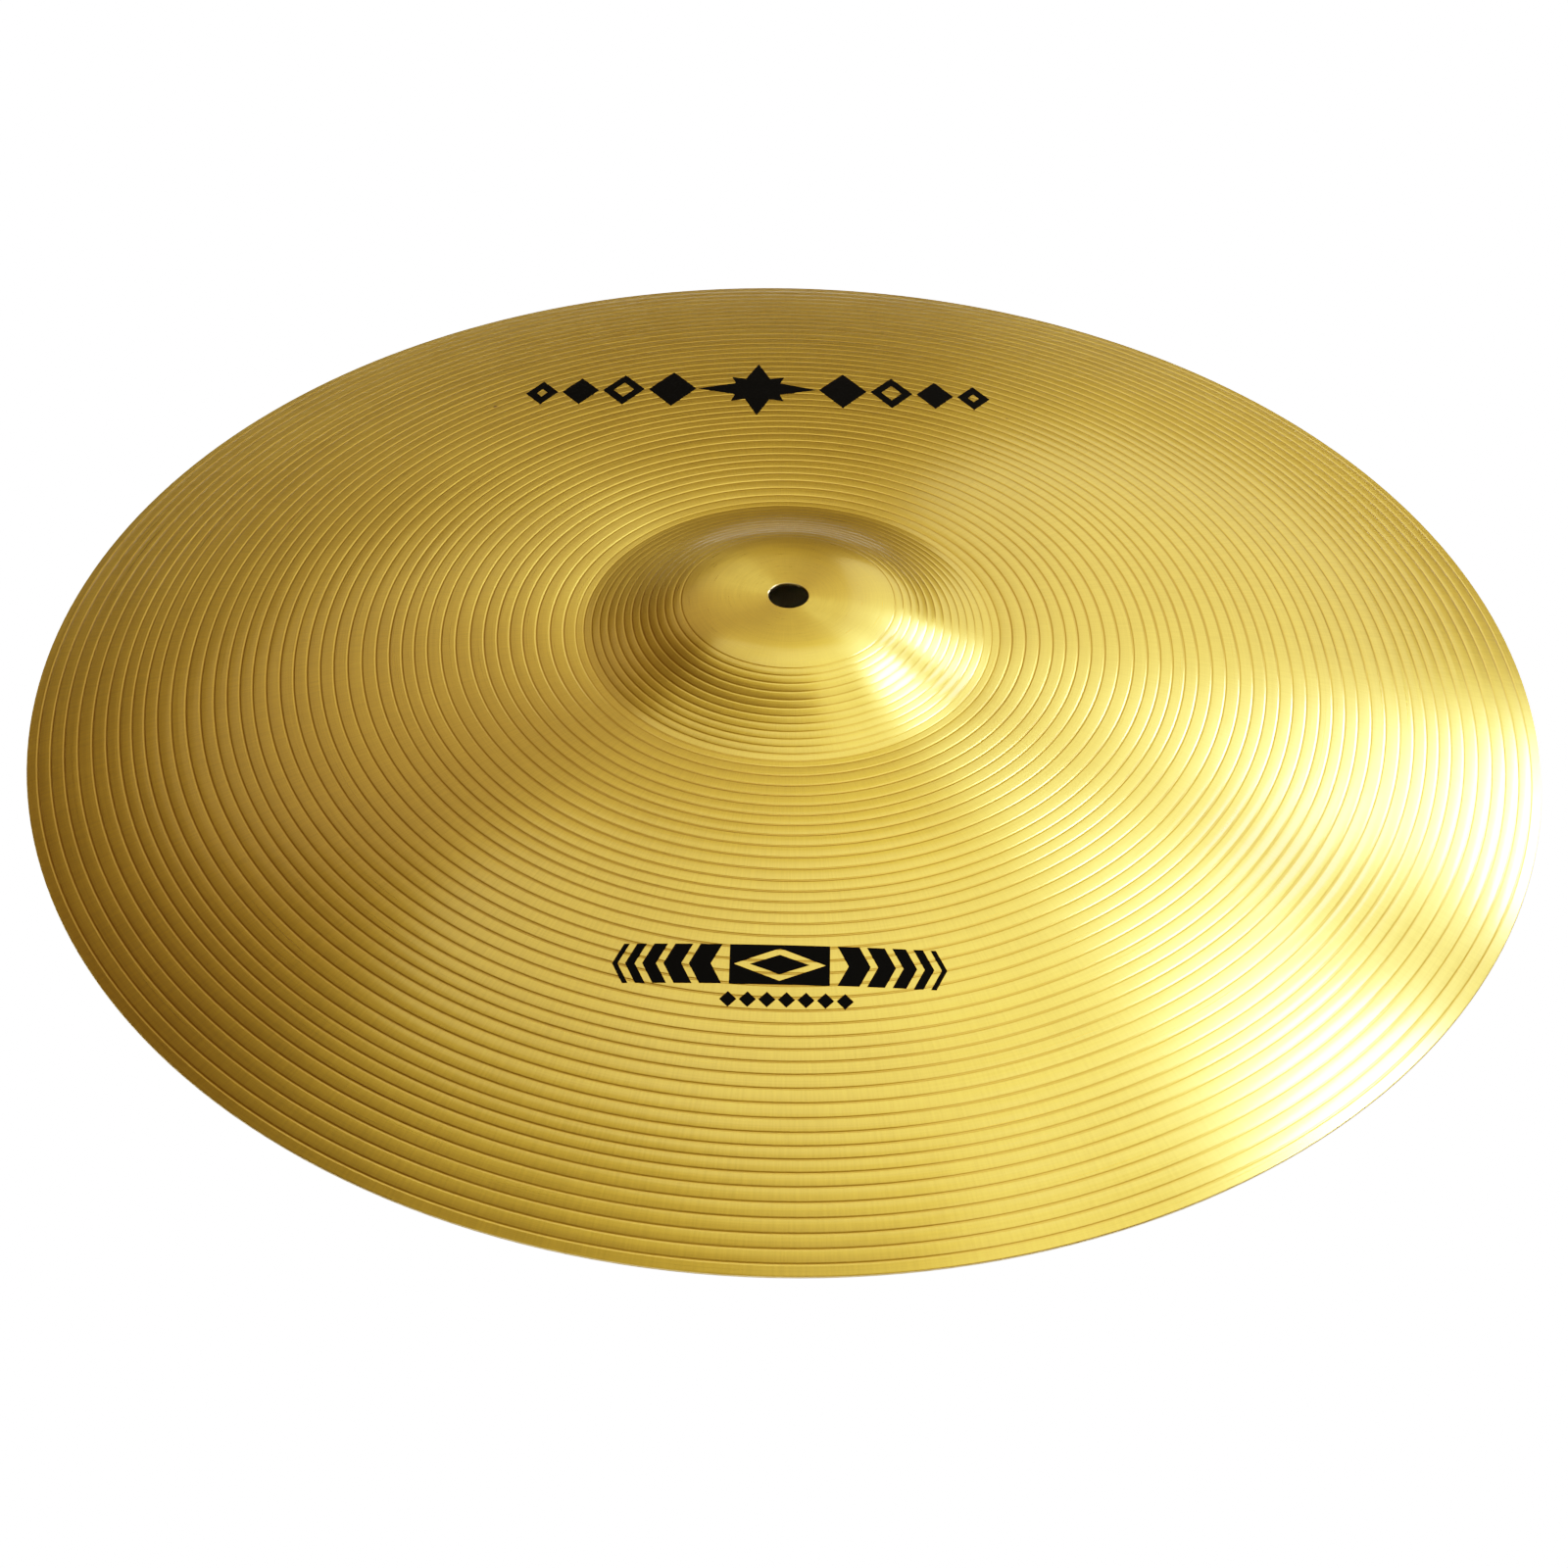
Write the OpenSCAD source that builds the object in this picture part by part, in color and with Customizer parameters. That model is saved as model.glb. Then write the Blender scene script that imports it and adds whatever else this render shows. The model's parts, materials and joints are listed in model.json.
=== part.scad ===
// Crash cymbal: one pressed and spun brass plate with its printed marks.
// Millimetres, +Z up. The axis of the cymbal is Z and the rim rests on z = 0.
// +Y is the side of the upper mark, -Y the side of the lower mark.

/* [Plate] */
// Diameter over the edge
cymbal_d = 457.2; // [432:0.1:508]
// Thickness of the brass sheet
plate_t = 1.0; // [0.8:0.1:1.4]
// Height of the top of the bell above the plane of the rim
total_h = 37.3; // [34:0.1:44]
// Height of the sheet's middle at the foot of the bell
bow_h = 24.6; // [18:0.1:28]
// How late the bow turns down: 1 is a cone, 2 a parabola
bow_curve = 1.8; // [1.5:0.1:2.4]

/* [Bell] */
// Diameter of the bell at its foot
bell_d = 127; // [110:1:150]
// Radius of the bell's steepest ring, where the cup turns down into the skirt
cup_r = 41; // [36:0.5:46]
// How much steeper the sheet is on that ring than on the skirt
cup_steepness = 0.16; // [0:0.01:0.24]
// Radius where the crown turns down into the bell's flank
crown_turn_r = 27; // [22:0.5:34]
// Diameter of the hole for the stand's rod
hole_d = 12; // [10:0.1:14]
// Diameter of the flat land round the hole, top and bottom
seat_d = 22; // [18:1:30]

/* [Turned grooves] */
// Width of a groove on the bow
groove_w = 1.1; // [0.6:0.1:1.8]
// Depth of a groove on the bow
groove_depth = 0.13; // [0.05:0.01:0.3]
// Mean distance between grooves on the bow
groove_pitch = 4.04; // [3:0.01:6]
// How far the tool wanders from an even pitch
groove_wander = 0.45; // [0:0.05:0.6]
// Width of a groove on the bell
bell_groove_w = 0.9; // [0.4:0.1:1.4]
// Depth of a groove on the bell
bell_groove_depth = 0.07; // [0.05:0.01:0.2]
// Distance between grooves on the bell
bell_groove_pitch = 2.45; // [2:0.05:4]
// Radius of the smooth crown inside the first bell groove
crown_r = 31; // [24:1:40]

/* [Printed marks] */
// Thickness of the ink
ink_t = 0.12; // [0.1:0.01:0.2]
// Distance of the upper mark's middle from the axis
upper_mark_y = 135; // [132:1:150]
// Distance of the lower mark's middle from the axis
lower_mark_y = 137.5; // [130:0.5:142]
// Distance of the small mark's middle from the axis
small_mark_y = 149; // [145:0.5:160]

/* [Hidden] */
$fn = 256;

half_t = plate_t / 2;
rim_r = cymbal_d / 2;
nose_r = rim_r - half_t;          // centre of the rounded edge
bell_r = bell_d / 2;
hole_r = hole_d / 2;
seat_r = seat_d / 2;

// The middle surface of the sheet is the sum of a bow outside bell_r and a bell inside it. The bell's
// flank is a skirt of even slope, softened where it leaves the crown and where it meets the bow, with a
// steeper ring on it, the cup.
cup_w = 8;
crown_turn_w = 7;
foot_w = 2;
foot_r = bell_r - 2.5;

function tanh(x) = (exp(x) - exp(-x)) / (exp(x) + exp(-x));
function log_cosh(x) = abs(x) + ln((1 + exp(-2 * abs(x))) / 2);

function cup_drop(r) = cup_steepness * cup_w * tanh((r - cup_r) / cup_w);
function cup_slope(r) = cup_steepness * (1 - pow(tanh((r - cup_r) / cup_w), 2));
function skirt_drop(r) = (crown_turn_w * log_cosh((r - crown_turn_r) / crown_turn_w)
    - foot_w * log_cosh((r - foot_r) / foot_w)) / 2;
function skirt_slope(r) = (tanh((r - crown_turn_r) / crown_turn_w) - tanh((r - foot_r) / foot_w)) / 2;

seat_z = total_h - half_t;
skirt_steepness = (seat_z - bow_h - cup_drop(nose_r) + cup_drop(seat_r))
    / (skirt_drop(nose_r) - skirt_drop(seat_r));
function bell_drop(r) = cup_drop(r) + skirt_steepness * skirt_drop(r);
bow_rise = bow_h - half_t;
function bow_u(r) = max(0, r - bell_r) / (nose_r - bell_r);

function mid_z(r) = r <= seat_r ? seat_z
    : seat_z - bell_drop(r) + bell_drop(seat_r) - bow_rise * pow(bow_u(r), bow_curve);
function mid_slope(r) = r <= seat_r ? 0
    : -cup_slope(r) - skirt_steepness * skirt_slope(r)
        - bow_rise * bow_curve * pow(bow_u(r), bow_curve - 1) / (nose_r - bell_r);

// A point of the section at radius r, at height h above the middle surface and square to it
function skin(r, h) =
    let (s = mid_slope(r), n = sqrt(1 + s * s))
    [r - h * s / n, mid_z(r) + h / n];

// Centre radii of the grooves
first_groove_r = bell_r + 4;
last_groove_r = rim_r - 3.5;
groove_count = floor((last_groove_r - first_groove_r) / groove_pitch) + 1;
function bow_groove_r(i) = first_groove_r + groove_pitch * i + groove_wander * sin(45 * i) * sin(9 * i);
bow_grooves = [for (i = [0:groove_count - 1]) bow_groove_r(i)];
bell_groove_count = floor((bell_r - 0.5 - crown_r) / bell_groove_pitch) + 1;
bell_grooves = [for (i = [0:bell_groove_count - 1]) crown_r + 1 + bell_groove_pitch * i];

function groove_points(r, w, depth) =
    [skin(r - w / 2, half_t), skin(r, half_t - depth), skin(r + w / 2, half_t)];

// The rounded edge, from the top skin over the outside to the bottom skin
nose_steps = 10;
nose_tilt = atan(-mid_slope(nose_r));
nose_points = [for (i = [0:nose_steps])
    let (a = 90 - nose_tilt - 180 * i / nose_steps)
    [nose_r + half_t * cos(a), half_t + half_t * sin(a)]];

// Radii where the smooth underside and the smooth crown bend
crown_radii = [for (i = [0:6]) seat_r + (crown_r - 1 - seat_r) * i / 6];
under_step = 4;
under_radii = [for (r = [rim_r - 4: -under_step: seat_r + 1]) r];

plate_section = concat(
    [[hole_r, total_h - plate_t], [hole_r, total_h]],
    [for (r = crown_radii) skin(r, half_t)],
    [for (r = bell_grooves) for (p = groove_points(r, bell_groove_w, bell_groove_depth)) p],
    [for (r = bow_grooves) for (p = groove_points(r, groove_w, groove_depth)) p],
    nose_points,
    [for (r = under_radii) skin(r, -half_t)],
    [[seat_r, total_h - plate_t]]);

module cymbal_plate() {
    color("goldenrod") rotate_extrude() polygon(plate_section);
}

// A skin of ink on the bow, over the lands between the grooves and across each groove
ink_in = 112;
ink_out = 174;
ink_edges = [for (r = bow_grooves) if (r > ink_in && r < ink_out) for (s = [-1, 1]) r + s * groove_w / 2];
ink_last = len(ink_edges) - 1;
ink_section = concat(
    [for (r = ink_edges) skin(r, half_t)],
    [for (i = [ink_last: -1: 0]) skin(ink_edges[i], half_t + ink_t)]);

module ink_film() {
    rotate_extrude() polygon(ink_section);
}

// Prints a flat outline onto the bow
module print_on_bow() {
    color("black") intersection() {
        ink_film();
        linear_extrude(total_h) children();
    }
}

module lozenge(w, h) {
    polygon([[-w / 2, 0], [0, -h / 2], [w / 2, 0], [0, h / 2]]);
}

module hollow_lozenge(w, h, stroke) {
    difference() {
        lozenge(w, h);
        lozenge(w - 2 * stroke, (w - 2 * stroke) * h / w);
    }
}

// A star with four long points, its waist being where the points meet
module star(w, h, waist) {
    polygon([[w / 2, 0], [waist, waist], [0, h / 2], [-waist, waist],
        [-w / 2, 0], [-waist, -waist], [0, -h / 2], [waist, -waist]]);
}

// Upper mark: an eight-pointed star with a row of lozenges on each side, every second one hollow
star_size = 40;
star_height = 38;
lozenge_w = 16;
lozenge_h = 25;
lozenge_shrink = 0.88;
lozenge_gap = 1.4;
lozenge_count = 4;
upper_mark_x = -12;

function scaled(size, i) = size * pow(lozenge_shrink, i);
function lozenge_x(i) = i == 0 ? star_size / 2 + lozenge_w / 2 + lozenge_gap / 2
    : lozenge_x(i - 1) + (scaled(lozenge_w, i - 1) + scaled(lozenge_w, i)) / 2 + lozenge_gap;

module lozenge_row() {
    for (i = [0:lozenge_count - 1])
        translate([lozenge_x(i), 0])
            if (i % 2 == 0) lozenge(scaled(lozenge_w, i), scaled(lozenge_h, i));
            else hollow_lozenge(scaled(lozenge_w, i), scaled(lozenge_h, i), 3.6);
}

module upper_mark() {
    star(star_size, star_height, 5);
    rotate(45) star(star_size * 0.62, star_size * 0.62, 4.5);
    lozenge_row();
    mirror([1, 0]) lozenge_row();
}

module upper_print() {
    print_on_bow() translate([upper_mark_x, upper_mark_y]) upper_mark();
}

// Lower mark: a panel with nested lozenges between chevrons that grow thinner outwards
mark_w = 90;
mark_h = 13;
panel_w = 27;
panel_stroke = 2.2;
chevron_count = 5;
chevron_tip = 3;
chevron_gap = 2;
chevron_thinning = 1.1;
chevron_room = (mark_w - panel_w) / 2 - chevron_tip - chevron_count * chevron_gap;
chevron_w = chevron_room / chevron_count + chevron_thinning * (chevron_count - 1) / 2;

function chevron_x(i) = panel_w / 2 + chevron_gap * (i + 1)
    + chevron_w * i - chevron_thinning * i * (i - 1) / 2;

module chevron(w, h, tip) {
    polygon([[0, -h / 2], [w, -h / 2], [w + tip, 0], [w, h / 2], [0, h / 2], [tip, 0]]);
}

module chevron_row() {
    for (i = [0:chevron_count - 1])
        translate([chevron_x(i), 0]) chevron(chevron_w - chevron_thinning * i, mark_h, chevron_tip);
}

module lower_mark() {
    difference() {
        square([panel_w, mark_h], center = true);
        lozenge(panel_w - panel_stroke, mark_h - panel_stroke);
    }
    lozenge(panel_w - 5 * panel_stroke, mark_h - 3 * panel_stroke);
    chevron_row();
    mirror([1, 0]) chevron_row();
}

module lower_print() {
    print_on_bow() translate([0, -lower_mark_y]) lower_mark();
}

// Small mark: one row of equal lozenges
small_count = 7;
small_pitch = 5.2;
small_w = 4.6;
small_h = 5;
small_mark_x = 2;

module small_mark() {
    for (i = [0:small_count - 1])
        translate([small_pitch * (i - (small_count - 1) / 2), 0]) lozenge(small_w, small_h);
}

module small_print() {
    print_on_bow() translate([small_mark_x, -small_mark_y]) small_mark();
}

cymbal_plate();
upper_print();
lower_print();
small_print();
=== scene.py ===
"""Crash cymbal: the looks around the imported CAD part, in metres, in the part's own frame."""

import json
import math

import bmesh
import bpy
import numpy as np
from mathutils import Matrix, Vector


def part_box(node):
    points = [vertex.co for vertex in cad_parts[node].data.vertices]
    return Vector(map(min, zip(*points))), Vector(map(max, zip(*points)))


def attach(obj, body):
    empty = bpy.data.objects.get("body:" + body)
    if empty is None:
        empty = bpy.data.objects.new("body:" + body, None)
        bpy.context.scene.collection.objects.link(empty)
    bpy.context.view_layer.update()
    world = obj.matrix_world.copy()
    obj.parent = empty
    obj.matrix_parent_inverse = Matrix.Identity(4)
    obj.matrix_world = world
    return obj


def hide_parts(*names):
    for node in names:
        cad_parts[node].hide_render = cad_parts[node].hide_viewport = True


MM = 0.001

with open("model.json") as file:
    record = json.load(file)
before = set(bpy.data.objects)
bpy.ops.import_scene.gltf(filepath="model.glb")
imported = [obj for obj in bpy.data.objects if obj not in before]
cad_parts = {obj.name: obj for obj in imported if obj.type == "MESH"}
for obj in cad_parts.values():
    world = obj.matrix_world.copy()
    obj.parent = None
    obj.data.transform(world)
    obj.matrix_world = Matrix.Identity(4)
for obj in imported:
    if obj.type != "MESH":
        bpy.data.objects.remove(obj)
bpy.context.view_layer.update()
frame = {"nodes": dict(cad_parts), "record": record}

# ---------------------------------------------------------------- sizes, in millimetres
_, plate_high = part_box("cymbal_plate")
mounts = {m["name"]: m for m in frame["record"]["mounts"]}
RIM_R = plate_high.x / MM
TOTAL_H = plate_high.z / MM
HOLE_R = mounts["stand_hole"]["dims"]["r_mm"]
PLATE_T = mounts["stand_hole"]["dims"]["length_mm"]
HALF_T = PLATE_T / 2
NOSE_R = RIM_R - HALF_T  # centre of the rounded edge

# The same driving dimensions as in the CAD source
BOW_H = 24.6
BOW_CURVE = 1.8
BELL_R = 63.5
CUP_R = 41.0
CUP_STEEPNESS = 0.16
CUP_W = 8.0
CROWN_TURN_R = 27.0
CROWN_TURN_W = 7.0
FOOT_R = BELL_R - 2.5
FOOT_W = 2.0
SEAT_R = 11.0
CROWN_R = 31.0

GROOVE_W = 1.1
GROOVE_DEPTH = 0.13
GROOVE_PITCH = 4.04
GROOVE_WANDER = 0.45
BELL_GROOVE_W = 0.9
BELL_GROOVE_DEPTH = 0.07
BELL_GROOVE_PITCH = 2.45
FIRST_GROOVE_R = BELL_R + 4
LAST_GROOVE_R = RIM_R - 3.5

# The finish and the painted shade that only the fine shapes have
LAND_CROWN = 0.012  # rise of a land's middle, as a share of its width
HOLE_CORNER = 0.25  # radius of the hole's two eased corners
RIM_HIGHLIGHT_W = 0.15  # width of the painted highlight on the rim
HOLE_HIGHLIGHT_W = 0.1  # and in the hole
INK_T = 0.05  # how far the ink stands above a land
BELL_GROOVE_SHADE = 0.8  # painted shade in the bell's shallow grooves, where the bow's have 1
SEGMENTS = 224  # steps round the axis
NOSE_ROWS = 9  # rows of the section on the rounded edge
UNDER_ROWS = 32  # and on the underside

# ---------------------------------------------------------------- the section of the plate
SEAT_Z = TOTAL_H - HALF_T
BOW_RISE = BOW_H - HALF_T
BOW_RUN = NOSE_R - BELL_R


def log_cosh(x):
    return abs(x) + math.log((1 + math.exp(-2 * abs(x))) / 2)


def cup_drop(r):
    return CUP_STEEPNESS * CUP_W * math.tanh((r - CUP_R) / CUP_W)


def skirt_drop(r):
    crown_side = CROWN_TURN_W * log_cosh((r - CROWN_TURN_R) / CROWN_TURN_W)
    return (crown_side - FOOT_W * log_cosh((r - FOOT_R) / FOOT_W)) / 2


SKIRT_STEEPNESS = (SEAT_Z - BOW_H - cup_drop(NOSE_R) + cup_drop(SEAT_R)) / (
    skirt_drop(NOSE_R) - skirt_drop(SEAT_R)
)


def bell_drop(r):
    return cup_drop(r) + SKIRT_STEEPNESS * skirt_drop(r)


def bow_share(r):
    return max(0.0, r - BELL_R) / BOW_RUN


def mid_z(r):
    """Height of the sheet's middle surface at radius r: a flat seat, then bell and bow together."""
    if r <= SEAT_R:
        return SEAT_Z
    return SEAT_Z - bell_drop(r) + bell_drop(SEAT_R) - BOW_RISE * bow_share(r) ** BOW_CURVE


def mid_slope(r):
    if r <= SEAT_R:
        return 0.0
    cup = CUP_STEEPNESS * (1 - math.tanh((r - CUP_R) / CUP_W) ** 2)
    skirt = (math.tanh((r - CROWN_TURN_R) / CROWN_TURN_W) - math.tanh((r - FOOT_R) / FOOT_W)) / 2
    bow = BOW_RISE * BOW_CURVE * bow_share(r) ** (BOW_CURVE - 1) / BOW_RUN
    return -cup - SKIRT_STEEPNESS * skirt - bow


def skin(r, h):
    """The point (radius, height) that lies h above the middle surface, square to it."""
    s = mid_slope(r)
    n = math.hypot(1, s)
    return r - h * s / n, mid_z(r) + h / n


def bow_grooves():
    """Centre radii of the bow's grooves: an even pitch that wanders a little."""
    count = int((LAST_GROOVE_R - FIRST_GROOVE_R) / GROOVE_PITCH) + 1
    wander = [math.sin(math.radians(45 * i)) * math.sin(math.radians(9 * i)) for i in range(count)]
    return [FIRST_GROOVE_R + GROOVE_PITCH * i + GROOVE_WANDER * wander[i] for i in range(count)]


def bell_grooves():
    count = int((BELL_R - 0.5 - CROWN_R) / BELL_GROOVE_PITCH) + 1
    return [CROWN_R + 1 + BELL_GROOVE_PITCH * i for i in range(count)]


GROOVES = [(r, BELL_GROOVE_W, BELL_GROOVE_DEPTH) for r in bell_grooves()]
GROOVES += [(r, GROOVE_W, GROOVE_DEPTH) for r in bow_grooves()]


def groove_at(r):
    """How deep the skin lies in a groove at radius r, as a share of the groove's depth, and that depth."""
    for centre, width, deep in GROOVES:
        if abs(r - centre) < width / 2:
            return (1 + math.cos(2 * math.pi * (r - centre) / width)) / 2, deep
    return 0.0, 0.0


def groove_depth(r):
    share, deep = groove_at(r)
    return share * deep


def land_crown(r):
    """How far a land stands above its edges at radius r: each land is a little rounded across."""
    for (inner, inner_w, _), (outer, outer_w, _) in zip(GROOVES, GROOVES[1:]):
        low, high = inner + inner_w / 2, outer - outer_w / 2
        if low < r < high:
            across = (2 * r - low - high) / (high - low)
            return LAND_CROWN * (high - low) * (1 - across**2)
    return 0.0


def top_point(r):
    return skin(r, HALF_T - groove_depth(r) + land_crown(r))


def under_point(r):
    return skin(r, -HALF_T)


def with_normals(curve, values, step=0.01):
    """Points of a curve as radius, height and normal, the normal being square to the curve on its left."""
    rows = []
    for v in values:
        (r0, z0), (r1, z1) = curve(v - step), curve(v + step)
        length = math.hypot(r1 - r0, z1 - z0)
        rows.append((*curve(v), -(z1 - z0) / length, (r1 - r0) / length))
    return rows


def top_radii():
    """Radii of the upper skin's rows: a few on the seat, crown and foot, and seven across every groove."""
    radii = [HOLE_R + HOLE_CORNER, HOLE_R + 1.5, SEAT_R - 1]
    radii += list(np.linspace(SEAT_R, CROWN_R - 0.5, 9))
    for centre, width, _ in GROOVES:
        radii += [centre + width * k for k in (-0.6, -0.5, -0.25, 0, 0.25, 0.5, 0.6)]
    radii += [BELL_R, BELL_R + 2]
    return sorted(radii)


def plate_section():
    """The closed section of the plate as rows of radius, height and normal."""
    top, bottom = TOTAL_H, TOTAL_H - PLATE_T
    ease = HOLE_CORNER * 0.3  # how far the middle of an eased corner lies inside the sharp one
    rows = [(HOLE_R, top - HOLE_CORNER, -1, 0), (HOLE_R + ease, top - ease, -0.7, 0.7)]
    rows += with_normals(top_point, top_radii())
    tilt = math.atan(-mid_slope(NOSE_R))

    def nose(turn):
        a = math.pi / 2 - tilt - turn
        return NOSE_R + HALF_T * math.cos(a), HALF_T + HALF_T * math.sin(a)

    rows += with_normals(nose, np.linspace(0, math.pi, NOSE_ROWS), step=0.001)
    under = with_normals(under_point, np.linspace(HOLE_R + HOLE_CORNER, RIM_R - 3, UNDER_ROWS)[::-1])
    rows += [(r, z, -nr, -nz) for r, z, nr, nz in under]
    rows += [(HOLE_R + ease, bottom + ease, -0.7, -0.7), (HOLE_R, bottom + HOLE_CORNER, -1, 0)]
    return rows


def make_plate():
    """The plate as one closed mesh, turned from its section, with the section's own normals."""
    rows = np.array(plate_section())
    radius, height, normal_out, normal_up = rows.T
    turn = np.linspace(0, 2 * math.pi, SEGMENTS, endpoint=False)

    def turned(out, up):
        parts = np.outer(out, np.cos(turn)), np.outer(out, np.sin(turn)), np.outer(up, np.ones(SEGMENTS))
        return np.stack(parts, -1).reshape(-1, 3)

    count = len(rows)
    ring = np.arange(count)[:, None] * SEGMENTS
    next_ring = (np.arange(count)[:, None] + 1) % count * SEGMENTS
    here = np.arange(SEGMENTS)[None, :]
    there = (here + 1) % SEGMENTS
    quads = np.stack([ring + here, next_ring + here, next_ring + there, ring + there], -1).reshape(-1, 4)
    mesh = bpy.data.meshes.new("cymbal_plate_fine")
    mesh.from_pydata((turned(radius, height) * MM).tolist(), [], quads.tolist())
    mesh.validate()
    mesh.shade_smooth()
    mesh.normals_split_custom_set_from_vertices(turned(normal_out, normal_up).tolist())
    is_top = normal_up > 0.8
    # Painted shade in the grooves, on the upper skin only
    add_attribute(mesh, "groove", [groove_shade_at(r) if top else 0.0 for r, top in zip(radius, is_top)])
    add_attribute(mesh, "land", [land_at(r) if top else 0.0 for r, top in zip(radius, is_top)])
    # Painted highlight: the rim and the hole's wall get a pale colour
    highlit_edge = (radius > RIM_R - RIM_HIGHLIGHT_W) | (radius < HOLE_R + HOLE_HIGHLIGHT_W)
    add_attribute(mesh, "cut_edge", highlit_edge)
    return link(bpy.data.objects.new("cymbal_plate_fine", mesh))


def groove_shade_at(r):
    """How much painted shade lies at radius r: none on a land, and most at the bottom of a bow groove."""
    share, deep = groove_at(r)
    return share * (BELL_GROOVE_SHADE if deep == BELL_GROOVE_DEPTH else 1)


def land_at(r):
    """The number of the land at radius r, counted from the crown."""
    return sum(r > centre for centre, _, _ in GROOVES)


def add_attribute(mesh, name, row_values):
    """One value for each row of the section, the same all the way round."""
    values = np.repeat(np.array(row_values, dtype=np.float32), SEGMENTS)
    mesh.attributes.new(name, "FLOAT", "POINT").data.foreach_set("value", values)


def link(obj):
    bpy.context.scene.collection.objects.link(obj)
    return obj


# ---------------------------------------------------------------- the printed marks
def make_print(node, name):
    """A thin film of ink with the CAD print's outline, laid on the plate's lands."""
    mesh = frame["nodes"][node].data.copy()
    mesh.name = name
    mesh.materials.clear()
    work = bmesh.new()
    work.from_mesh(mesh)
    bmesh.ops.remove_doubles(work, verts=work.verts, dist=0.01 * MM)
    work.normal_update()
    for v in work.verts:
        on_top = max(f.normal.z for f in v.link_faces) > 0.5
        r = math.hypot(v.co.x, v.co.y) / MM
        lift = INK_T if on_top else -INK_T
        v.co.z = (mid_z(r) + (HALF_T + land_crown(r) + lift) * math.hypot(1, mid_slope(r))) * MM
    work.to_mesh(mesh)
    work.free()
    mesh.shade_flat()
    return link(bpy.data.objects.new(name, mesh))


# ---------------------------------------------------------------- materials
BRASS = (0.95, 0.69, 0.12, 1)
# Painted shade for the grooves
GROOVE_SHADE_COLOUR = (0.74, 0.46, 0.06, 1)
# Painted highlight for the rim and the hole's edge
EDGE_HIGHLIGHT_COLOUR = (0.92, 0.78, 0.45, 1)
STAIN = (0.30, 0.19, 0.07, 1)
INK = (0.002, 0.002, 0.002, 1)


def new_material(name, settings):
    """A new material with these settings on its shader, and the parts of it that are worked on."""
    material = bpy.data.materials.new(name)
    material.use_nodes = True
    tree = material.node_tree
    shader = tree.nodes["Principled BSDF"]
    for socket, value in settings.items():
        shader.inputs[socket].default_value = value
    return material, tree.nodes, tree.links, shader


class Graph:
    """Short names for the few shader nodes that the materials are made of."""

    def __init__(self, nodes, links):
        self.nodes, self.links = nodes, links

    def feed(self, socket, value):
        if isinstance(value, bpy.types.NodeSocket):
            self.links.new(value, socket)
        else:
            socket.default_value = value

    def math(self, operation, a, b=0.0):
        node = self.nodes.new("ShaderNodeMath")
        node.operation = operation
        self.feed(node.inputs[0], a)
        self.feed(node.inputs[1], b)
        return node.outputs[0]

    def vector(self, operation, a, b=(0, 0, 0)):
        node = self.nodes.new("ShaderNodeVectorMath")
        node.operation = operation
        self.feed(node.inputs[0], a)
        self.feed(node.inputs[1], b)
        return node.outputs[1 if operation == "LENGTH" else 0]

    def attribute(self, name):
        node = self.nodes.new("ShaderNodeAttribute")
        node.attribute_name = name
        return node.outputs["Fac"]

    def noise(self, vector, scale=1.0, detail=2.0):
        node = self.nodes.new("ShaderNodeTexNoise")
        self.feed(node.inputs["Vector"], vector)
        self.feed(node.inputs["Scale"], scale)
        self.feed(node.inputs["Detail"], detail)
        return node.outputs["Fac"]

    def ramp(self, value, low, high, to_low=0.0, to_high=1.0):
        node = self.nodes.new("ShaderNodeMapRange")
        for socket, number in zip(node.inputs, (value, low, high, to_low, to_high)):
            self.feed(socket, number)
        return node.outputs["Result"]

    def mix(self, share, a, b, blend="MIX"):
        node = self.nodes.new("ShaderNodeMix")
        node.data_type, node.blend_type = "RGBA", blend
        factor, colour_a, colour_b = node.inputs[0], node.inputs[6], node.inputs[7]
        self.feed(factor, share)
        self.feed(colour_a, a)
        self.feed(colour_b, b)
        return node.outputs[2]

    def grey(self, value):
        node = self.nodes.new("ShaderNodeCombineColor")
        for socket in node.inputs:
            self.feed(socket, value)
        return node.outputs["Color"]


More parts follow.
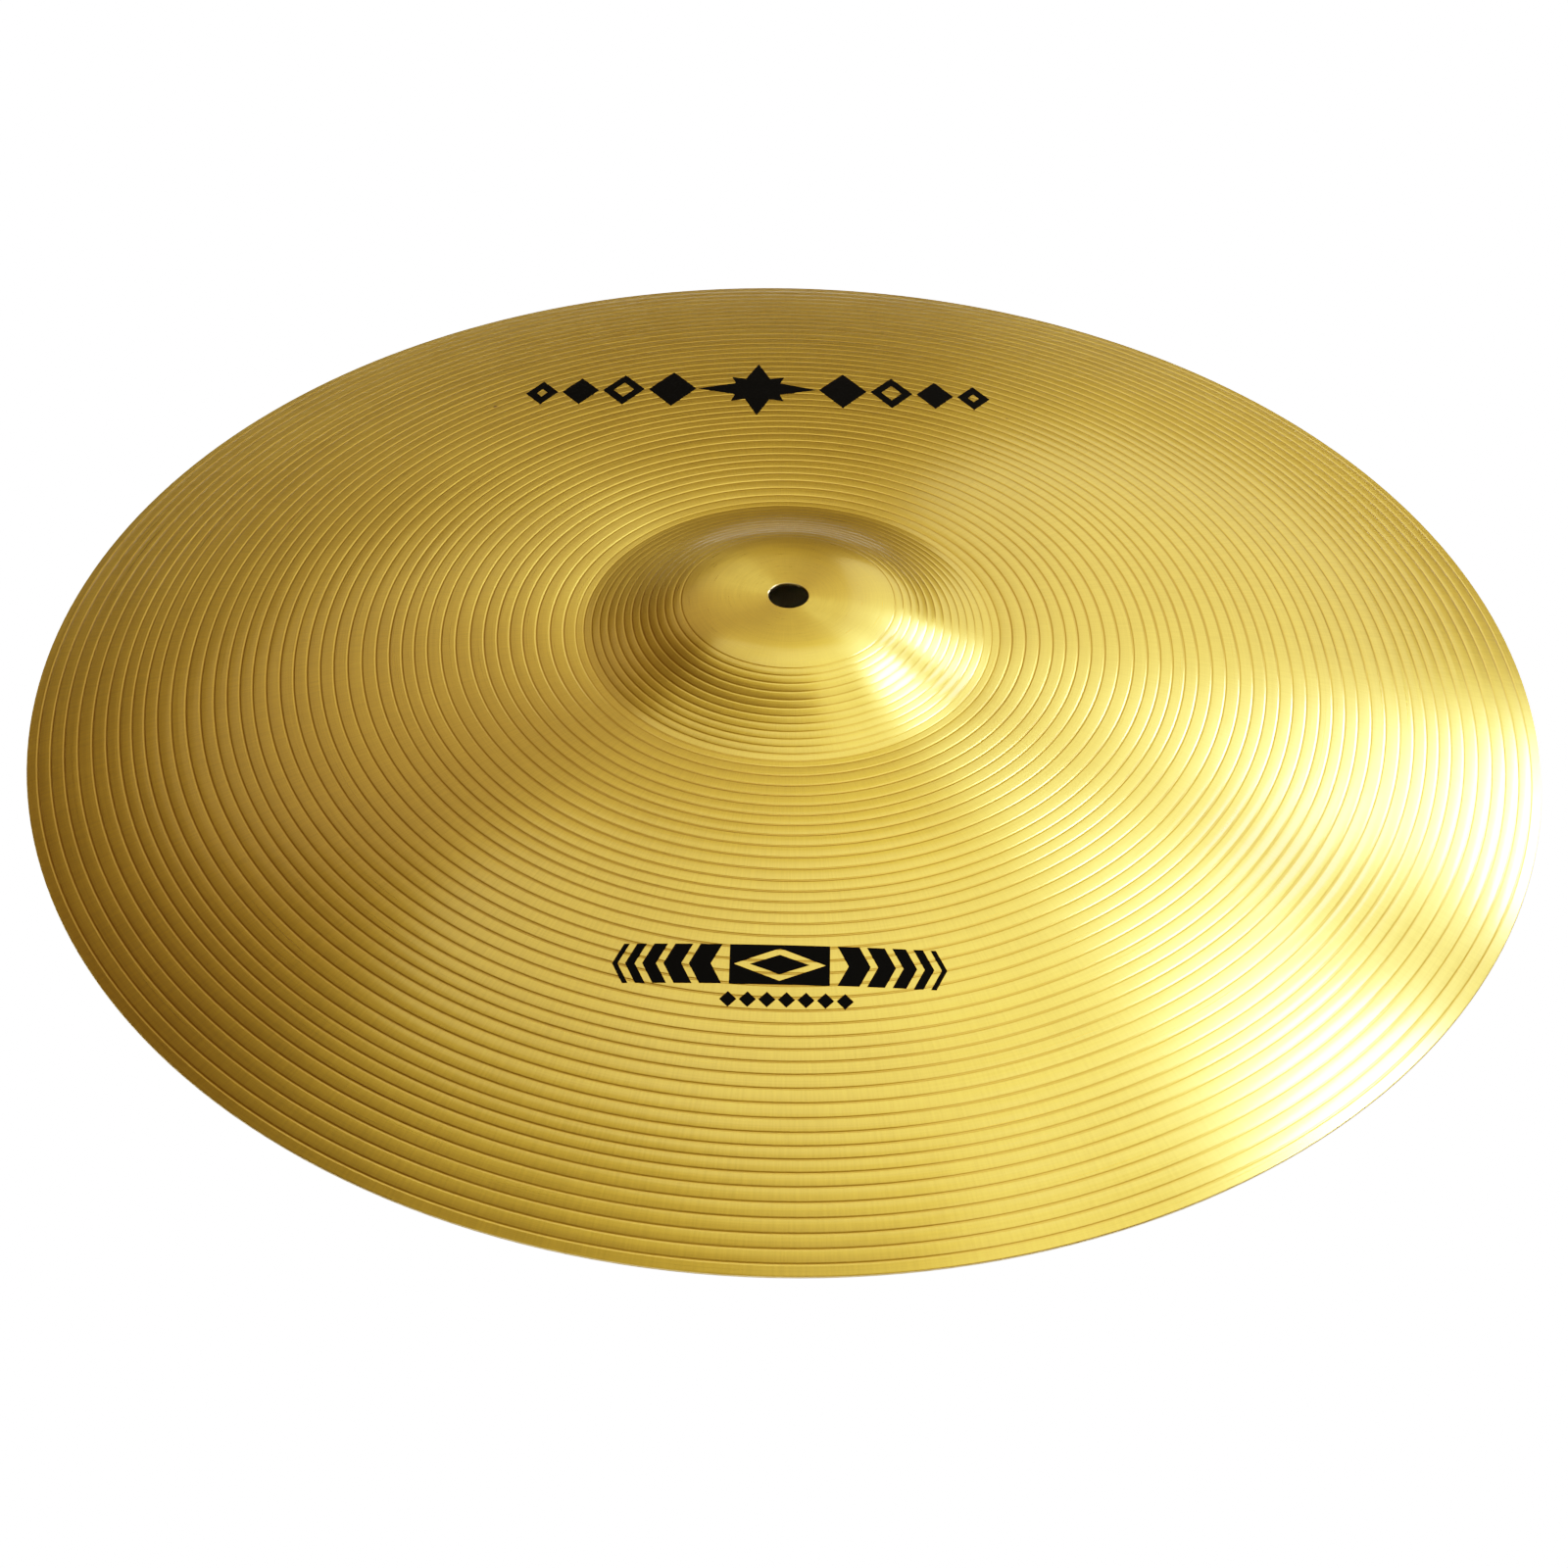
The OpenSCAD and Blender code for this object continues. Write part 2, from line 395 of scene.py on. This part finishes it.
def brass():
    """Brass turned on a lathe under clear lacquer: its highlights run out from the centre."""
    turned_metal = {"Metallic": 1.0, "Anisotropic": 0.8, "Anisotropic Rotation": 0.25}
    lacquer = {"Coat Weight": 1.0, "Coat Roughness": 0.12, "Coat IOR": 1.6}
    material, nodes, links, shader = new_material("brushed_brass", turned_metal | lacquer)
    tangent = nodes.new("ShaderNodeTangent")
    tangent.direction_type = "RADIAL"
    tangent.axis = "Z"
    links.new(tangent.outputs[0], shader.inputs["Tangent"])

    g = Graph(nodes, links)
    place = nodes.new("ShaderNodeTexCoord").outputs["Object"]
    flat = g.vector("MULTIPLY", place, (1, 1, 0))
    radius = g.vector("LENGTH", flat)
    direction = g.vector("NORMALIZE", flat)
    land = g.attribute("land")

    def turned_noise(round_the_axis, across, detail=2.0):
        """Noise whose grain is set apart round the axis (per radian) and across it (per metre)."""
        spot = nodes.new("ShaderNodeCombineXYZ")
        land_shift = g.math("MULTIPLY", land, 7.3)
        g.feed(spot.inputs["Z"], g.math("ADD", g.math("MULTIPLY", radius, across), land_shift))
        vector = g.vector("ADD", g.vector("MULTIPLY", direction, (round_the_axis,) * 3), spot.outputs[0])
        return g.noise(vector, detail=detail)

    brushing = turned_noise(2.5, 2600, detail=3.0)
    chatter = turned_noise(260, 90)
    cloud = g.noise(place, scale=38, detail=3.0)
    land_tone = nodes.new("ShaderNodeTexWhiteNoise")
    land_tone.noise_dimensions = "1D"
    g.feed(land_tone.inputs["W"], land)

    tone = g.ramp(brushing, 0.3, 0.7, 0.95, 1.05)
    tone = g.math("MULTIPLY", tone, g.ramp(chatter, 0.3, 0.7, 0.94, 1.05))
    tone = g.math("MULTIPLY", tone, g.ramp(cloud, 0.3, 0.7, 0.96, 1.03))
    tone = g.math("MULTIPLY", tone, g.ramp(land_tone.outputs["Value"], 0, 1, 0.97, 1.03))
    colour = g.mix(1.0, BRASS, g.grey(tone), "MULTIPLY")

    specks = nodes.new("ShaderNodeTexVoronoi")
    specks.inputs["Scale"].default_value = 55
    g.feed(specks.inputs["Vector"], place)
    # Only the few cells with a bright random colour have a speck
    rare = g.math("GREATER_THAN", g.vector("LENGTH", specks.outputs["Color"]), 1.38)
    near = g.ramp(specks.outputs["Distance"], 0.02, 0.06, 1, 0)
    colour = g.mix(g.math("MULTIPLY", rare, near), colour, STAIN)

    # Painted shade: the grooves are darkened, most at the bottom of a bow groove
    colour = g.mix(g.attribute("groove"), colour, GROOVE_SHADE_COLOUR)
    # Painted highlight on the rim and in the hole
    colour = g.mix(g.attribute("cut_edge"), colour, EDGE_HIGHLIGHT_COLOUR)
    g.feed(shader.inputs["Base Color"], colour)
    g.feed(shader.inputs["Roughness"], g.ramp(brushing, 0.25, 0.75, 0.27, 0.33))
    return material


def ink():
    """Screen-printed black, a little uneven in its gloss."""
    dull = {"Base Color": INK, "Specular IOR Level": 0.01}
    material, nodes, links, shader = new_material("black_ink", dull)
    g = Graph(nodes, links)
    place = nodes.new("ShaderNodeTexCoord").outputs["Object"]
    grain = g.noise(place, scale=900)
    g.feed(shader.inputs["Roughness"], g.ramp(grain, 0.3, 0.7, 0.45, 0.6))
    return material


# ---------------------------------------------------------------- build
plate = make_plate()
plate.data.materials.append(brass())
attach(plate, "root")
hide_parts("cymbal_plate")

ink_material = ink()
for node in ("upper_print", "lower_print", "small_print"):
    film = make_print(node, node + "_ink")
    film.data.materials.append(ink_material)
    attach(film, "root")
    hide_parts(node)


# ---------------------------------------------------------------- stage, light and camera
WHITE = 2.2  # the radiance that comes out as white
CURVE_STEPS = 7
TABLE_R = 0.42  # the metal sees a light floor as far out as this, and a dark one beyond
TABLE_EDGE = 0.05
TABLE_SHADE, FAR_SHADE = 0.95, 0.06
FLOOR_FILL = 0.3
LIGHT_DISTANCE = 4.0

DAYLIGHT = (1.0, 1.0, 1.0)
ROOM = (1.15, 1.0, 0.55)
WOOD = (1.2, 0.9, 0.5)
DIM_ROOM = (0.10, 0.05, 0.015, 1)

# Soft lights: name, azimuth, elevation, width and height in degrees, radiance, colour
CARDS = (
    ("near_window", 20, 52, 26, 12, 24, DAYLIGHT),
    ("far_window", 42, 26, 10, 22, 32, DAYLIGHT),
    ("window_side", 54, 44, 6, 12, 6, DAYLIGHT),
    ("right_wall", 70, 34, 26, 34, 1.35, ROOM),
    ("high_bounce", 82, 64, 44, 26, 1.2, ROOM),
    ("high_corner", 76, 60, 20, 12, 0.6, ROOM),
    ("far_wall", 107, 42, 34, 24, 0.32, WOOD),
    ("room_behind", -100, 36, 70, 30, 1.0, ROOM),
    ("ceiling", 5, 70, 40, 20, 0.9, ROOM),
    ("ceiling_middle", 40, 78, 50, 18, 0.5, ROOM),
)

# The camera, in degrees, millimetres of lens and film, and metres
CAMERA_ELEVATION = 41.67
CAMERA_ROLL = 1.35
CAMERA_DISTANCE = 0.8706
CAMERA_LENS = 67.5
FILM_WIDTH = 36
AIM = (0, -0.0435, HALF_T * MM)


def camera_ray(nodes):
    """1 for what the camera sees itself, and 0 for what the metal mirrors."""
    return nodes.new("ShaderNodeLightPath").outputs["Is Camera Ray"]


def show_either(nodes, links, share, first, second, output):
    """Shows the first shader where the share is 0 and the second where it is 1."""
    either = nodes.new("ShaderNodeMixShader")
    for socket, source in zip(either.inputs, (share, first, second)):
        links.new(source, socket)
    links.new(either.outputs[0], nodes[output].inputs["Surface"])


def make_floor():
    """A pale floor: plain white to the eye past the rim, and darker in the metal and under the plate."""
    bpy.ops.mesh.primitive_plane_add(size=12, location=(0, 0, 0))
    floor = bpy.context.object
    floor.name = "floor"
    matt = {"Roughness": 0.8, "Specular IOR Level": 0.0}
    material, nodes, links, shader = new_material("pale_floor", matt)
    plain = nodes.new("ShaderNodeEmission")
    plain.inputs["Strength"].default_value = WHITE
    g = Graph(nodes, links)
    reach = g.vector("LENGTH", nodes.new("ShaderNodeNewGeometry").outputs["Position"])
    shade = g.ramp(reach, TABLE_R, TABLE_R + TABLE_EDGE, TABLE_SHADE, FAR_SHADE)
    g.feed(shader.inputs["Base Color"], g.grey(shade))
    clear = g.math("MULTIPLY", camera_ray(nodes), g.math("GREATER_THAN", reach, NOSE_R * MM))
    show_either(nodes, links, clear, shader.outputs[0], plain.outputs[0], "Material Output")
    floor.data.materials.append(material)


def make_world():
    """A dim warm room round the metal, with a plain white backdrop behind it for the eye."""
    world = bpy.data.worlds.new("studio")
    world.use_nodes = True
    nodes, links = world.node_tree.nodes, world.node_tree.links
    room = nodes["Background"]
    room.inputs["Color"].default_value = DIM_ROOM
    backdrop = nodes.new("ShaderNodeBackground")
    backdrop.inputs["Color"].default_value = (1, 1, 1, 1)
    backdrop.inputs["Strength"].default_value = WHITE
    show_either(nodes, links, camera_ray(nodes), room.outputs[0], backdrop.outputs[0], "World Output")
    bpy.context.scene.world = world


def add_floor_fill():
    """A weak overcast sun that lightens the floor and doesn't show in the metal."""
    data = bpy.data.lights.new("floor_fill", "SUN")
    data.energy = FLOOR_FILL
    data.angle = math.radians(100)
    lamp = link(bpy.data.objects.new("floor_fill", data))
    lamp.visible_glossy = False


def add_card(name, azimuth, elevation, wide, high, radiance, colour):
    """A soft light that fills wide by high degrees, at an azimuth from +X towards +Y."""
    a, e = math.radians(azimuth), math.radians(elevation)
    way = Vector((math.cos(a) * math.cos(e), math.sin(a) * math.cos(e), math.sin(e)))
    data = bpy.data.lights.new(name, "AREA")
    data.shape = "ELLIPSE"
    data.size = 2 * LIGHT_DISTANCE * math.tan(math.radians(wide / 2))
    data.size_y = 2 * LIGHT_DISTANCE * math.tan(math.radians(high / 2))
    data.energy = radiance * math.pi**2 / 4 * data.size * data.size_y
    data.color = colour
    lamp = link(bpy.data.objects.new(name, data))
    lamp.location = way * LIGHT_DISTANCE
    lamp.rotation_mode = "QUATERNION"
    lamp.rotation_quaternion = way.to_track_quat("Z", "Y")


def make_camera():
    data = bpy.data.cameras.new("camera")
    data.sensor_width = FILM_WIDTH
    data.lens = CAMERA_LENS
    camera = link(bpy.data.objects.new("camera", data))
    elevation = math.radians(CAMERA_ELEVATION)
    back = Vector((0, -math.cos(elevation), math.sin(elevation)))
    camera.matrix_world = (
        Matrix.Translation(Vector(AIM) + back * CAMERA_DISTANCE)
        @ back.to_track_quat("Z", "Y").to_matrix().to_4x4()
        @ Matrix.Rotation(math.radians(CAMERA_ROLL), 4, "Z")
    )
    bpy.context.scene.camera = camera


def set_tone_curve():
    """A soft shoulder, as a camera has: a highlight turns cream and then white, and not a flat yellow."""
    view = bpy.context.scene.view_settings
    view.view_transform = "Standard"
    view.use_curve_mapping = True
    curve = view.curve_mapping
    curve.white_level = (WHITE,) * 3
    points = curve.curves[3].points
    for k in range(1, CURVE_STEPS):
        share = (k / CURVE_STEPS) ** 2
        points.new(share, (1 - math.exp(-share * WHITE)) / (1 - math.exp(-WHITE)))
    curve.update()


make_floor()
make_world()
add_floor_fill()
for card in CARDS:
    add_card(*card)
make_camera()
set_tone_curve()
